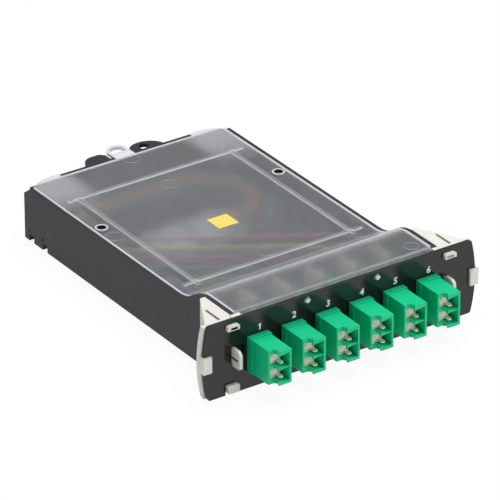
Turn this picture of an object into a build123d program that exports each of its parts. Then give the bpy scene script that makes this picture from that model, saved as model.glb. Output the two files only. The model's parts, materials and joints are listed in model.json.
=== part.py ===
"""Fibre splice module: a flat tray with a frosted cover, a wide faceplate with six
duplex adapters, a latch at each end of the plate, and spliced pigtails inside.
Millimetres. Origin: middle of the faceplate's rear face. +X to the right along the
plate, +Y back into the tray, +Z up."""

from build123d import *
import math
import os

# Faceplate
PLATE_W = 129.5
PLATE_H = 32.5
PLATE_T = 1.5
PLATE_BOW = 2.1
PLATE_CORNER_R = 1.2
CUTOUT_GAP = 0.1

# Tray
SIDE_MARGIN = 15.75
TRAY_LEN = 152.8
WALL = 1.6
FLOOR = 1.6
TRAY_TOP = 7.4
NECK_DROP = 0.65
RAMP_START = 42.0
RAMP_END = 19.0
REAR_CORNER_DROP = 3.2
REAR_CORNER_RUN = 4.3
LEDGE_W = 1.3
LEDGE_T = 1.5

# Cover
COVER_T = 1.5
COVER_GAP = 0.2
SEAT_GAP = 0.1
LIP_GAP = 0.6
LIP_LEN = 3.9
LIP_DROP = 1.0
EAR_INSET = 17.0
EAR_FRONT_RUN = 4.5
EAR_BULGE = (4.2, 1.2)
RIB_W = 1.2
RIB_H = 0.5
RIB_INSET = 11.7
RIB_FRONT_Y = 45.3
RIB_REAR_RUN = 22.8
RIB_OVERSHOOT = 5.5
VENT_INSET = 6.0
VENT_REAR_RUN = 48.8
VENT_R = 2.0
VENT_RIM = 0.7
STUD_X = 16.6
STUD_DROP = 2.45
STUD_R = 1.05
STUD_HOLE_R = 1.7
STUD_PROUD = 0.4
STUD_BED = 0.4
CORNER_INSET = 3.6
CORNER_RUN = 3.5

# Tongue and tabs at the rear
TONGUE_X = -0.6
TONGUE_W = 9.2
TONGUE_GAP = 0.3
TONGUE_ROOT = 3.0
PULL_NECK = 2.0
PULL_REACH = 9.2
PULL_WALL = 1.3
PULL_BAR = 1.0
ROUND_SLACK = 0.3
TAB_T = 1.6
TAB_REACH = 7.2
LEFT_TAB_X = (-17.4, -6.2)
LEFT_TAB_R = 5.5
LEFT_TAB_CHAMFER = 2.0
RIGHT_TAB_X = (4.9, 20.3)
RIGHT_TAB_CORNER = (1.5, 1.2)
RIGHT_TAB_EDGE = 3.0
TAB_HOLE_X = 11.4
TAB_HOLE_Y = 3.0
TAB_HOLE_R = 2.25

# Adapters
PORT_COUNT = 6
ADAPTER_MARGIN = 8.8
ROW_SHIFT = 0.5
ADAPTER_W = 8.9
ADAPTER_H = 14.7
ADAPTER_Z = -1.1
ADAPTER_FRONT = 16.7
ADAPTER_REAR = 12.0
COLLAR_LEN = 3.0
COLLAR_PROUD = 0.4
GROOVE_W = 0.3
GROOVE_BACK = 1.35
SIDE_SETBACK = 2.9
SIDE_SETBACK_W = 2.9
STEP_ROUND_R = 0.87
STEP_ROUND_Y = 1.3
PORT_PITCH = 6.25
PORT_BAR = 1.65
PORT_BAR_EDGE = 0.25
PORT_X = (-3.6, 3.5)
LEAD_IN = 4.0
FERRULE_X = 0.9
PARTITION = 7.0
SLEEVE_R = 1.2
SLEEVE_BORE_R = 0.65
SLEEVE_LEN = 6.8
SLEEVE_GAP = 0.05
SLEEVE_SLIT = 0.2

# Shutters
FLAP_X = (-3.1, 1.4)
FLAP_T = 0.5
FLAP_H = 2.9
FLAP_LEAN = 12.0
FLAP_GROOVE_X = -1.35
FLAP_GROOVE_W = 0.3
FLAP_BARREL_R = 0.4
FLAP_PIVOT_BACK = 4.9
FLAP_PIN_R = 0.3
PIN_GAP = 0.06
SHUTTER_EAR_T = 0.35
SHUTTER_EAR_R = 0.7
SHUTTER_BASE_T = 0.5
SHUTTER_BASE_Y = (4.4, 5.4)
SHUTTER_FOOT_X = (-3.3, -1.8)
SHUTTER_FOOT_Y = 3.9
TONGUE_TIP_X = (0.0, 1.8)
TONGUE_TIP_Y = 1.5
TONGUE_TIP_Z = (0.35, 0.9)
TONGUE_TIP_R = 0.55

# Pigtail plugs and fibres
PLUG_W = 4.5
PLUG_BODY_END = 22.0
BOOT_END = 36.0
BOOT_R0 = 1.9
BOOT_R1 = 1.1
FERRULE_R = 0.6
FERRULE_REACH = 2.4
PLUG_SEAT_GAP = 0.1
PLUG_LATCH_T = 0.9
PLUG_LATCH_W = 2.4
PLUG_LATCH_GAP = 0.5
PLUG_LATCH_FRONT = 8.0
PLUG_LATCH_ROOT = 1.5
PLUG_LATCH_END = 4.0
PLUG_CHAMFER = 0.4
FIBRE_D = 0.9
FIBRE_STRAIGHT_Y = 50.0
LANE_PITCH = 1.2
LANE_WALL_GAP = 2.0
LANE_LOW_RUN = 38.8
LEVEL_RUN = 15.7
SLANT_R = 14.0
DROP_R = 20.0
REAR_R = 25.0
ENTRY_R = 12.0

# Splices
SPLICE_PITCH = 3.2
SPLICE_R = 1.25
SPLICE_LEN = 40.0
SPLICE_REAR_RUN = 57.8
SPLICE_GAP = 0.15
HOLDER_BASE = 1.2
HOLDER_WALL_H = 5.6
HOLDER_END = 2.0
HOLDER_TOOTH = 5.0

# Latches
LATCH_GAP = 0.3
LATCH_BACK = 20.6
LATCH_MARGIN = 0.65
LATCH_WALL = 1.5
LATCH_FLANGE = 2.2
LATCH_RIM = 0.9
LATCH_APEX = 2.2
LATCH_EDGE = 2.4
LATCH_ROUND = 0.9
HOOK_OUT = (-0.1, 5.4)
HOOK_DROP = (4.05, 1.75)
HOOK_PROUD = 1.5
HOOK_POCKET_X = (0.9, 4.1)
HOOK_POCKET_Z = (0.35, 1.35)
FOOT_OUT = (-0.1, 5.5)
FOOT_RISE = (0.95, 4.45)
SLOT_GAP = 0.15
CLIP_HALF_H = 3.5
CLIP_REACH = 3.15
CLIP_T = 1.2
CLIP_WRAP = 0.75
CLIP_GAP = 0.05
KEEPER_INSET = 3.2
KEEPER_Y = 2.4
KEEPER_GAP = 0.15
KEEPER_TOP = 0.4
SLIT_W = 1.2
SLIT_LEN = 9.5
SLIT_X = 5.0
LEVER_T = 1.4
LEVER_OUT = 1.9
LEVER_HALF_H = 3.9
LEVER_PROUD = 5.3
LEVER_PIVOT_Y = 14.0
LEVER_BARREL_R = 1.0
LEVER_PIN_R = 0.6
LEVER_PIN_LEN = 1.0
LEVER_TOP_R = 2.4
LEVER_LOW_R = 1.0
LEVER_SLIT_LEN = 4.0
LEVER_SLIT_H = 0.9
LEVER_SLIT_Z = -0.3
WINDOW_IN = 4.0
WINDOW_DEPTH = 3.0

# Tray details
NOTCH_REAR_RUN = (17.0, 7.0)
NOTCH_W = 3.4
NOTCH_H = 2.9
PIN_HOLE_R = 0.55
PIN_HOLE_RISE = 1.7
CABLE_HOLE_X = 12.0
CABLE_HOLE_Z = -4.0
CABLE_HOLE_R = 3.5
FINGER_T = 1.6
FINGER_REACH = 11.0
FINGER_LEG = 12.0
FINGER_W = 2.4
FINGER_FRONT_Y = 62.0
FINGER_REAR_RUN = 28.8

# Sticker
LABEL_W = 9.4
LABEL_L = 9.0
LABEL_Y = 81.0
LABEL_T = 0.15

# How far a cutting body runs past a face
OVERCUT = 1.0

# Worked-out places
PLATE_FRONT = -PLATE_T
PLATE_HALF = PLATE_W / 2
HALF_TRAY = PLATE_HALF - SIDE_MARGIN
TRAY_BOTTOM = -PLATE_H / 2
TRAY_FLOOR = TRAY_BOTTOM + FLOOR
NECK_TOP = PLATE_H / 2 - NECK_DROP
INNER_HALF = HALF_TRAY - WALL
INNER_REAR = TRAY_LEN - WALL
COVER_HALF = INNER_HALF - COVER_GAP
COVER_TOP = TRAY_TOP + SEAT_GAP
STUD_Z = PLATE_H / 2 - STUD_DROP
TAB_END = TRAY_LEN + TAB_REACH
PULL_END = TRAY_LEN + PULL_REACH
FINGER_Y = (FINGER_FRONT_Y, TRAY_LEN - FINGER_REAR_RUN)
ADAPTER_PITCH = 2 * (HALF_TRAY - ADAPTER_MARGIN) / (PORT_COUNT - 1)
ADAPTER_X = [(i - (PORT_COUNT - 1) / 2) * ADAPTER_PITCH + ROW_SHIFT for i in range(PORT_COUNT)]
ADAPTER_TIP = PLATE_FRONT - ADAPTER_FRONT
PORT_Z = [ADAPTER_Z + PORT_PITCH / 2, ADAPTER_Z - PORT_PITCH / 2]
PORT_HALF_H = (PORT_PITCH - PORT_BAR) / 2
PARTITION_MID = (ADAPTER_TIP + ADAPTER_REAR) / 2
SPLICE_LOW_Z = TRAY_FLOOR + HOLDER_BASE + SPLICE_GAP + SPLICE_R
LANE_Z = (SPLICE_LOW_Z + 2 * SPLICE_R + SPLICE_GAP, SPLICE_LOW_Z)
LANE_LOW_Y = TRAY_LEN - LANE_LOW_RUN
HOOK_X = [HALF_TRAY + v for v in HOOK_OUT]
HOOK_Z = [PLATE_H / 2 - v for v in HOOK_DROP]
FOOT_X = [HALF_TRAY + v for v in FOOT_OUT]
FOOT_Z = [TRAY_BOTTOM + v for v in FOOT_RISE]
LATCH_HALF_H = PLATE_H / 2 - LATCH_MARGIN
LEVER_X = HALF_TRAY + LEVER_OUT


def block(x0, x1, y0, y1, z0, z1):
    """Box from its low and high corners."""
    centre = Location(((x0 + x1) / 2, (y0 + y1) / 2, (z0 + z1) / 2))
    return centre * Box(x1 - x0, y1 - y0, z1 - z0)


def outline_face(*curves):
    """Face inside a closed run of curves."""
    edges = []
    for curve in curves:
        edges.extend(curve.edges())
    return make_face(edges)


def prism(points, plane, depth):
    """Extrude a polygon drawn on a plane."""
    return extrude(plane * make_face(Polyline(*points, close=True)), depth)


def cylinder_y(x, y0, y1, z, radius):
    """Cylinder along Y."""
    return Location((x, (y0 + y1) / 2, z), (90, 0, 0)) * Cylinder(radius, y1 - y0)


def cylinder_x(x0, x1, y, z, radius):
    """Cylinder along X."""
    return Location(((x0 + x1) / 2, y, z), (0, 90, 0)) * Cylinder(radius, x1 - x0)


def cylinder_z(x, y, z0, z1, radius):
    """Cylinder along Z."""
    return Location((x, y, (z0 + z1) / 2)) * Cylinder(radius, z1 - z0)


def side_profile(rise, front, rear):
    """Side view of the tray in Y and Z, its top moved by rise, as a face."""
    low = TRAY_TOP + rise
    high = NECK_TOP + rise
    mid = (RAMP_START + RAMP_END) / 2
    ramp = Bezier((RAMP_START, low), (mid, low), (mid, high), (RAMP_END, high))
    outline = [
        Line((RAMP_END, high), (front, high)),
        Line((front, high), (front, TRAY_BOTTOM)),
        Line((front, TRAY_BOTTOM), (rear, TRAY_BOTTOM)),
        Line((rear, TRAY_BOTTOM), (rear, low)),
        Line((rear, low), (RAMP_START, low)),
    ]
    return outline_face(ramp, *outline)


def side_slab(rise, half_w, front, rear):
    """Side profile spread over the width."""
    plane = Plane(origin=(-half_w, 0, 0), x_dir=(0, 1, 0), z_dir=(1, 0, 0))
    return extrude(plane * side_profile(rise, front, rear), 2 * half_w)


def plate_outline(grow):
    """Plate face outline with bowed ends, grown by a margin at the ends."""
    half_w = PLATE_HALF + grow
    half_h = PLATE_H / 2
    inner = half_w - PLATE_BOW
    top = Line((-inner, half_h), (inner, half_h))
    right = ThreePointArc((inner, half_h), (half_w, 0), (inner, -half_h))
    bottom = Line((inner, -half_h), (-inner, -half_h))
    left = ThreePointArc((-inner, -half_h), (-half_w, 0), (-inner, half_h))
    return outline_face(top, right, bottom, left)


def upright(face, y, depth):
    """Extrude a face drawn in X and Z from y towards +Y."""
    plane = Plane(origin=(0, y, 0), x_dir=(1, 0, 0), z_dir=(0, -1, 0))
    return extrude(plane * face, -depth)


def faceplate():
    plate = upright(plate_outline(0), PLATE_FRONT, PLATE_T)
    corners = plate.edges().filter_by(Axis.Y).filter_by(lambda e: abs(e.center().Z) > PLATE_H * 0.4)
    plate = fillet(corners, PLATE_CORNER_R)
    half_w = ADAPTER_W / 2 + CUTOUT_GAP
    half_h = ADAPTER_H / 2 + CUTOUT_GAP
    for x in ADAPTER_X:
        plate -= block(x - half_w, x + half_w, -2 * PLATE_T, PLATE_T, ADAPTER_Z - half_h, ADAPTER_Z + half_h)
    for side in (-1, 1):
        plate -= cylinder_y(ROW_SHIFT + side * STUD_X, -2 * PLATE_T, PLATE_T, STUD_Z, STUD_HOLE_R)
        plate -= side_block(side, HOOK_X[0] - SLOT_GAP, HOOK_X[1] + SLOT_GAP, -2 * PLATE_T, PLATE_T,
                            HOOK_Z[0] - SLOT_GAP, HOOK_Z[1] + SLOT_GAP)
        plate -= side_block(side, FOOT_X[0] - SLOT_GAP, FOOT_X[1] + SLOT_GAP, -2 * PLATE_T, PLATE_T,
                            -PLATE_H, FOOT_Z[1] + SLOT_GAP)
        plate -= lever_window(side, -2 * PLATE_T, PLATE_T)
    return plate


def side_block(side, x0, x1, y0, y1, z0, z1):
    """Box on the left (side -1) or right (side 1), x measured from the middle."""
    if side > 0:
        return block(x0, x1, y0, y1, z0, z1)
    return block(-x1, -x0, y0, y1, z0, z1)


def lever_window(side, y0, y1):
    """Opening for a release lever, with room inwards for its swing."""
    half_h = LEVER_HALF_H + LATCH_GAP
    inner = LEVER_X - LEVER_T / 2 - WINDOW_IN
    return side_block(side, inner, LEVER_X + LEVER_T / 2 + LATCH_GAP, y0, y1, -half_h, half_h)


def tray():
    outside = HALF_TRAY + OVERCUT
    behind = TRAY_LEN + OVERCUT
    body = side_slab(0, HALF_TRAY, 0, TRAY_LEN)
    seat = -(COVER_T + SEAT_GAP)
    above_floor = block(-HALF_TRAY, HALF_TRAY, -OVERCUT, TRAY_LEN, TRAY_FLOOR, NECK_TOP + OVERCUT)
    above_seat = side_slab(OVERCUT, INNER_HALF, -OVERCUT, INNER_REAR)
    body -= above_seat - side_slab(seat, outside, -2 * OVERCUT, TRAY_LEN)
    body -= side_slab(seat, INNER_HALF - LEDGE_W, -OVERCUT, INNER_REAR - LEDGE_W) & above_floor
    body -= side_slab(seat - LEDGE_T, INNER_HALF, -OVERCUT, INNER_REAR) & above_floor
    top = TRAY_TOP + seat
    for side in (-1, 1):
        body -= side_block(side, HALF_TRAY - EAR_INSET - COVER_GAP, INNER_HALF, INNER_REAR - OVERCUT,
                           behind, top, NECK_TOP)
        for run in NOTCH_REAR_RUN:
            y = TRAY_LEN - run
            body -= side_block(side, INNER_HALF - OVERCUT, outside, y, y + NOTCH_W,
                               TRAY_BOTTOM - OVERCUT, TRAY_BOTTOM + NOTCH_H)
            through_wall = sorted((side * (INNER_HALF - OVERCUT), side * outside))
            body -= cylinder_x(*through_wall, y + NOTCH_W, TRAY_BOTTOM + NOTCH_H + PIN_HOLE_RISE, PIN_HOLE_R)
        body -= cylinder_y(side * CABLE_HOLE_X, INNER_REAR - OVERCUT, behind, CABLE_HOLE_Z, CABLE_HOLE_R)
        body -= side_block(side, INNER_HALF - OVERCUT, outside, -OVERCUT, KEEPER_Y + LATCH_GAP,
                           NECK_TOP - LIP_DROP, NECK_TOP + OVERCUT)
        body -= lever_window(side, -OVERCUT, WINDOW_DEPTH)
        body -= corner_wedge(side)
        for y in FINGER_Y:
            body += finger(side, y, top)
    tongue_half = TONGUE_W / 2 + TONGUE_GAP
    body -= block(TONGUE_X - tongue_half, TONGUE_X + tongue_half, INNER_REAR - OVERCUT, behind,
                  top, NECK_TOP)
    body += rear_tab_left()
    body += rear_tab_right()
    return body


def corner_wedge(side):
    """Slope cut off the top of a rear corner."""
    plane = Plane(origin=(side * (COVER_HALF - OVERCUT), 0, 0), x_dir=(0, 1, 0), z_dir=(1, 0, 0))
    run_start = TRAY_LEN - REAR_CORNER_RUN
    low = TRAY_TOP - REAR_CORNER_DROP
    high = TRAY_TOP + OVERCUT
    beyond = TRAY_LEN + OVERCUT
    slope = [(run_start, TRAY_TOP), (TRAY_LEN, low), (beyond, low), (beyond, high), (run_start, high)]
    return prism(slope, plane, side * (WALL + COVER_GAP + 2 * OVERCUT))


def finger(side, y, top):
    """L-shaped finger on a side wall that keeps the fibres down."""
    z1 = top - SEAT_GAP
    z0 = z1 - FINGER_T
    wall = HALF_TRAY - WALL / 2
    tip = HALF_TRAY - WALL - FINGER_REACH
    arm = side_block(side, tip, wall, y, y + FINGER_W, z0, z1)
    leg = side_block(side, tip, tip + FINGER_W, y - FINGER_LEG, y + FINGER_W, z0, z1)
    return arm + leg


def rear_tab_left():
    x0, x1 = LEFT_TAB_X
    z1 = TRAY_TOP - WALL / 2
    z0 = z1 - TAB_T
    tab = block(x0, x1, TRAY_LEN - WALL / 2, TAB_END, z0, z1)
    outer = tab.edges().filter_by(Axis.Z).sort_by(lambda e: e.center().Y - e.center().X)[-1]
    tab = fillet([outer], LEFT_TAB_R)
    inner = tab.edges().filter_by(Axis.Z).sort_by(lambda e: e.center().Y + 3 * e.center().X)[-1]
    return chamfer([inner], LEFT_TAB_CHAMFER)


def rear_tab_right():
    x0, x1 = RIGHT_TAB_X
    z1 = TRAY_TOP - WALL / 2
    back = TRAY_LEN - WALL / 2
    corner = (x0 + RIGHT_TAB_CORNER[0], TAB_END - RIGHT_TAB_CORNER[1])
    arc = ThreePointArc(corner, ((x0 + x1) / 2, TAB_END), (x1, TRAY_LEN))
    rest = Polyline((x1, TRAY_LEN), (x1, back), (x0, back), (x0, TAB_END - RIGHT_TAB_EDGE), corner)
    tab = Pos(0, 0, z1 - TAB_T) * extrude(outline_face(arc, rest), TAB_T)
    return tab - cylinder_z(TAB_HOLE_X, TRAY_LEN + TAB_HOLE_Y, z1 - 2 * TAB_T, z1 + TAB_T, TAB_HOLE_R)


def cover_outline():
    """Plan of the cover: straight sides, rear ears curving in over the rear wall."""
    rear = INNER_REAR - COVER_GAP
    ear_x = HALF_TRAY - EAR_INSET
    ear_front = TRAY_LEN - EAR_FRONT_RUN
    corner_x = HALF_TRAY - CORNER_INSET
    back = Polyline((ear_x, TRAY_LEN), (ear_x, rear), (-ear_x, rear), (-ear_x, TRAY_LEN))
    mid = (COVER_HALF - EAR_BULGE[0], TRAY_LEN - EAR_BULGE[1])
    left = ThreePointArc((-ear_x, TRAY_LEN), (-mid[0], mid[1]), (-COVER_HALF, ear_front))
    right = ThreePointArc((COVER_HALF, ear_front), mid, (ear_x, TRAY_LEN))
    sides = Polyline((-COVER_HALF, ear_front), (-COVER_HALF, CORNER_RUN), (-corner_x, CORNER_RUN),
                     (-corner_x, LIP_GAP), (corner_x, LIP_GAP), (corner_x, CORNER_RUN),
                     (COVER_HALF, CORNER_RUN), (COVER_HALF, ear_front))
    return outline_face(back, left, sides, right)


def cover():
    """Frosted cover: stepped sheet with a lower lip, ribs, vents, front studs and a tongue."""
    sheet = side_slab(SEAT_GAP, HALF_TRAY, 0, TRAY_LEN + OVERCUT)
    sheet -= side_slab(SEAT_GAP - COVER_T, HALF_TRAY + OVERCUT, -OVERCUT, TRAY_LEN + 2 * OVERCUT)
    plan = Pos(0, 0, TRAY_BOTTOM) * extrude(cover_outline(), PLATE_H * 2)
    body = sheet & plan
    lip_top = NECK_TOP + SEAT_GAP - LIP_DROP
    lip_end = LIP_GAP + LIP_LEN
    corner_x = HALF_TRAY - CORNER_INSET
    body -= block(-HALF_TRAY, HALF_TRAY, -OVERCUT, lip_end, lip_top, NECK_TOP + OVERCUT)
    body += block(-corner_x, corner_x, LIP_GAP, lip_end + COVER_T, STUD_Z - STUD_R - STUD_BED, lip_top)
    for side in (-1, 1):
        body += cylinder_y(ROW_SHIFT + side * STUD_X, PLATE_FRONT - STUD_PROUD, LIP_GAP + OVERCUT,
                           STUD_Z, STUD_R)
    return body + cover_ribs() + pull_tongue() - vents()


def cover_ribs():
    """Square of raised ribs, the two long ones and the two cross ones, and the vent rims."""
    rib_x = HALF_TRAY - RIB_INSET
    rib_rear = TRAY_LEN - RIB_REAR_RUN
    reach = rib_x + RIB_OVERSHOOT
    root = COVER_TOP - COVER_T / 2
    crest = COVER_TOP + RIB_H
    ribs = []
    for y in (RIB_FRONT_Y, rib_rear):
        ribs.append(block(-reach, reach, y - RIB_W / 2, y + RIB_W / 2, root, crest))
    for side in (-1, 1):
        ribs.append(side_block(side, rib_x - RIB_W / 2, rib_x + RIB_W / 2,
                               RIB_FRONT_Y - RIB_OVERSHOOT / 2, rib_rear + RIB_W / 2, root, crest))
        ribs.append(cylinder_z(side * (HALF_TRAY - VENT_INSET), TRAY_LEN - VENT_REAR_RUN, root,
                               COVER_TOP + RIB_H / 2, VENT_R + VENT_RIM))
    return ribs


def vents():
    """Two round holes through the cover."""
    y = TRAY_LEN - VENT_REAR_RUN
    low = COVER_TOP - 2 * COVER_T
    return [cylinder_z(side * (HALF_TRAY - VENT_INSET), y, low, COVER_TOP + COVER_T, VENT_R)
            for side in (-1, 1)]


def pull_tongue():
    """Tongue over the rear wall with a thin pull loop."""
    half = TONGUE_W / 2
    low = COVER_TOP - COVER_T
    start = INNER_REAR - TONGUE_ROOT
    neck_end = TRAY_LEN + PULL_NECK
    shank = block(TONGUE_X - half, TONGUE_X + half, start, neck_end, low, COVER_TOP)
    loop = block(TONGUE_X - half, TONGUE_X + half, neck_end - PULL_BAR / 2, PULL_END, low, COVER_TOP)
    loop = fillet(loop.edges().filter_by(Axis.Z).group_by(Axis.Y)[-1], half - ROUND_SLACK)
    inner_half = half - PULL_WALL
    hole = block(TONGUE_X - inner_half, TONGUE_X + inner_half, neck_end + PULL_BAR, PULL_END - PULL_WALL,
                 low - COVER_T, COVER_TOP + COVER_T)
    hole = fillet(hole.edges().filter_by(Axis.Z).group_by(Axis.Y)[-1], inner_half - ROUND_SLACK)
    return shank + (loop - hole)


def adapter():
    """One duplex adapter at x = 0, its latch side facing -X."""
    half_w = ADAPTER_W / 2
    half_h = ADAPTER_H / 2
    z0 = ADAPTER_Z - half_h
    z1 = ADAPTER_Z + half_h
    port_end = PARTITION_MID - PARTITION / 2
    body = block(-half_w, half_w, ADAPTER_TIP, ADAPTER_REAR, z0, z1)
    body += collar(half_w, z0, z1)
    step_x = -half_w + SIDE_SETBACK_W
    body -= block(-half_w - OVERCUT, step_x, ADAPTER_TIP - OVERCUT, ADAPTER_TIP + SIDE_SETBACK,
                  z0 - OVERCUT, z1 + OVERCUT)
    body -= cylinder_z(step_x, ADAPTER_TIP + STEP_ROUND_Y, z0 - OVERCUT, z1 + OVERCUT, STEP_ROUND_R)
    for z in PORT_Z:
        body -= block(*PORT_X, ADAPTER_TIP - OVERCUT, port_end, z - PORT_HALF_H, z + PORT_HALF_H)
        body -= block(*PORT_X, PARTITION_MID + PARTITION / 2, ADAPTER_REAR + OVERCUT,
                      z - PORT_HALF_H, z + PORT_HALF_H)
        body -= cylinder_y(FERRULE_X, ADAPTER_TIP, ADAPTER_REAR, z, SLEEVE_R + SLEEVE_GAP)
        body -= lead_in(step_x, z)
    return body


def collar(half_w, z0, z1):
    """Raised band around an adapter in front of the plate, with a groove round it."""
    grow = COLLAR_PROUD
    band = block(-half_w - grow, half_w + grow, PLATE_FRONT - COLLAR_LEN, PLATE_FRONT, z0 - grow, z1 + grow)
    groove_mid = PLATE_FRONT - GROOVE_BACK
    ring = block(-half_w - grow, half_w + grow, groove_mid - GROOVE_W / 2, groove_mid + GROOVE_W / 2,
                 z0 - grow, z1 + grow)
    return band - (ring - block(-half_w, half_w, -ADAPTER_FRONT, 0, z0, z1))


def lead_in(step_x, z):
    """Wedge that opens a port towards its right wall, so the bar beside it runs to a thin edge."""
    edge_h = (PORT_PITCH - PORT_BAR_EDGE) / 2
    right = PORT_X[1]
    outline = [(step_x, -PORT_HALF_H), (right, -edge_h), (right, edge_h), (step_x, PORT_HALF_H)]
    face = make_face(Polyline(*[(x, h + z) for x, h in outline], close=True))
    return upright(face, ADAPTER_TIP - OVERCUT, LEAD_IN + OVERCUT)


def shutter_pivot(z):
    """Place of a shutter's hinge in the port centred at height z."""
    return ADAPTER_TIP + FLAP_PIVOT_BACK, z - PORT_HALF_H + SHUTTER_BASE_T + PIN_GAP + FLAP_BARREL_R


def shutter(z):
    """Shutter flap of one port, standing across it and leaning back a little."""
    pivot_y, pivot_z = shutter_pivot(z)
    x0, x1 = FLAP_X
    half_t = FLAP_T / 2
    leaf = block(x0, x1, -half_t, half_t, 0, FLAP_H)
    leaf -= block(FLAP_GROOVE_X - FLAP_GROOVE_W / 2, FLAP_GROOVE_X + FLAP_GROOVE_W / 2, -FLAP_T, 0,
                  FLAP_BARREL_R, FLAP_H + OVERCUT)
    leaf += cylinder_x(x0, x1, 0, 0, FLAP_BARREL_R)
    pin = PIN_GAP + SHUTTER_EAR_T
    leaf += cylinder_x(x0 - pin, x1 + pin, 0, 0, FLAP_PIN_R)
    return Pos(0, pivot_y, pivot_z) * Rot(-FLAP_LEAN, 0, 0) * leaf


def shutter_seat(z):
    """Fixed seat of one shutter: base, left foot, raised front tongue and two hinge ears."""
    floor = z - PORT_HALF_H
    y0, y1 = [ADAPTER_TIP + v for v in SHUTTER_BASE_Y]
    pivot_y, pivot_z = shutter_pivot(z)
    left = FLAP_X[0] - PIN_GAP - SHUTTER_EAR_T
    right = FLAP_X[1] + PIN_GAP + SHUTTER_EAR_T
    seat = block(left, right, y0, y1, floor, floor + SHUTTER_BASE_T)
    seat += block(*SHUTTER_FOOT_X, ADAPTER_TIP + SHUTTER_FOOT_Y, y1, floor, floor + SHUTTER_BASE_T)
    low, high = [floor + v for v in TONGUE_TIP_Z]
    tongue = block(*TONGUE_TIP_X, ADAPTER_TIP + TONGUE_TIP_Y, y0, low, high)
    tongue = fillet(tongue.edges().filter_by(Axis.Z).group_by(Axis.Y)[0], TONGUE_TIP_R)
    seat += tongue
    for x in (left, right - SHUTTER_EAR_T):
        ear = block(x, x + SHUTTER_EAR_T, pivot_y - SHUTTER_EAR_R, pivot_y + SHUTTER_EAR_R, floor, pivot_z)
        ear += cylinder_x(x, x + SHUTTER_EAR_T, pivot_y, pivot_z, SHUTTER_EAR_R)
        seat += ear
    return seat - cylinder_x(left - OVERCUT, right + OVERCUT, pivot_y, pivot_z, FLAP_PIN_R + PIN_GAP)


def shutter_seats():
    """Twelve shutter seats, one on the floor of each front port."""
    group = []
    for x in ADAPTER_X:
        for z in PORT_Z:
            group.append(Pos(x, 0, 0) * shutter_seat(z))
    return Compound(children=group)


def sleeves():
    """Twelve split alignment sleeves, one in each port's partition."""
    group = []
    for x in ADAPTER_X:
        for z in PORT_Z:
            y0 = PARTITION_MID - SLEEVE_LEN / 2
            tube = cylinder_y(x + FERRULE_X, y0, y0 + SLEEVE_LEN, z, SLEEVE_R)
            tube -= cylinder_y(x + FERRULE_X, y0 - 1, y0 + SLEEVE_LEN + 1, z, SLEEVE_BORE_R)
            slit_x = x + FERRULE_X
            tube -= block(slit_x - SLEEVE_SLIT / 2, slit_x + SLEEVE_SLIT / 2, y0 - 1, y0 + SLEEVE_LEN + 1,
                          z, z + SLEEVE_R + 1)
            group.append(tube)
    return Compound(children=group)


def plug(z):
    """Pigtail plug in a rear port: body, ferrule, latch arm towards -X, boot."""
    half = PLUG_W / 2
    y0 = PARTITION_MID + PARTITION / 2 + PLUG_SEAT_GAP
    body = block(FERRULE_X - half, FERRULE_X + half, y0, PLUG_BODY_END, z - half, z + half)
    body = chamfer(body.edges().filter_by(Axis.Y), PLUG_CHAMFER)
    body += cylinder_y(FERRULE_X, y0 - FERRULE_REACH, y0 + 1, z, FERRULE_R)
    x0 = FERRULE_X - half
    arm_x = x0 - PLUG_LATCH_T - PLUG_LATCH_GAP
    half_l = PLUG_LATCH_W / 2
    arm_y = ADAPTER_REAR - PLUG_LATCH_FRONT
    body += block(arm_x, x0 + PLUG_CHAMFER / 2, arm_y, arm_y + PLUG_LATCH_ROOT, z - half_l, z + half_l)
    body += block(arm_x, arm_x + PLUG_LATCH_T, arm_y, PLUG_BODY_END - PLUG_LATCH_END, z - half_l, z + half_l)
    cone = Location((FERRULE_X, (PLUG_BODY_END + BOOT_END) / 2, z), (-90, 0, 0))
    body += cone * Cone(BOOT_R0, BOOT_R1, BOOT_END - PLUG_BODY_END)
    return body


def lane_x(i):
    """Distance of fibre lane i from the middle plane."""
    return INNER_HALF - LANE_WALL_GAP - i * LANE_PITCH


def splice_y(i):
    """Row of splice i in the holder."""
    return TRAY_LEN - SPLICE_REAR_RUN + i * SPLICE_PITCH


def slant():
    """Slope of the run to the left wall, so that the last lane is level before it drops."""
    last = PORT_COUNT - 1
    across = ADAPTER_X[last] + FERRULE_X + lane_x(last)
    return (LANE_LOW_Y - LEVEL_RUN - FIBRE_STRAIGHT_Y) / across


def fibre(i, layer):
    """Pigtail from plug i round the left, rear and right walls to its splice."""
    x = ADAPTER_X[i] + FERRULE_X
    z = PORT_Z[layer]
    lane = lane_x(i)
    low = LANE_Z[layer]
    slant_end = FIBRE_STRAIGHT_Y + slant() * (x + lane)
    rear = INNER_REAR - LANE_WALL_GAP - i * LANE_PITCH
    points = [
        (x, BOOT_END, z),
        (x, FIBRE_STRAIGHT_Y, z),
        (-lane, slant_end, z),
        (-lane, LANE_LOW_Y, low),
        (-lane, rear, low),
        (lane, rear, low),
        (lane, splice_y(i), low),
        (SPLICE_LEN / 2, splice_y(i), low),
    ]
    slant_r = min(SLANT_R, 0.7 * (x + lane))
    rear_r = REAR_R - i * LANE_PITCH
    radii = [slant_r, slant_r, DROP_R, rear_r, rear_r, ENTRY_R]
    path = FilletPolyline(*points, radius=radii)
    start = Plane(origin=points[0], z_dir=(0, 1, 0))
    tube = sweep(start * Circle(FIBRE_D / 2), path=path)
    return tube, path.length


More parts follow.
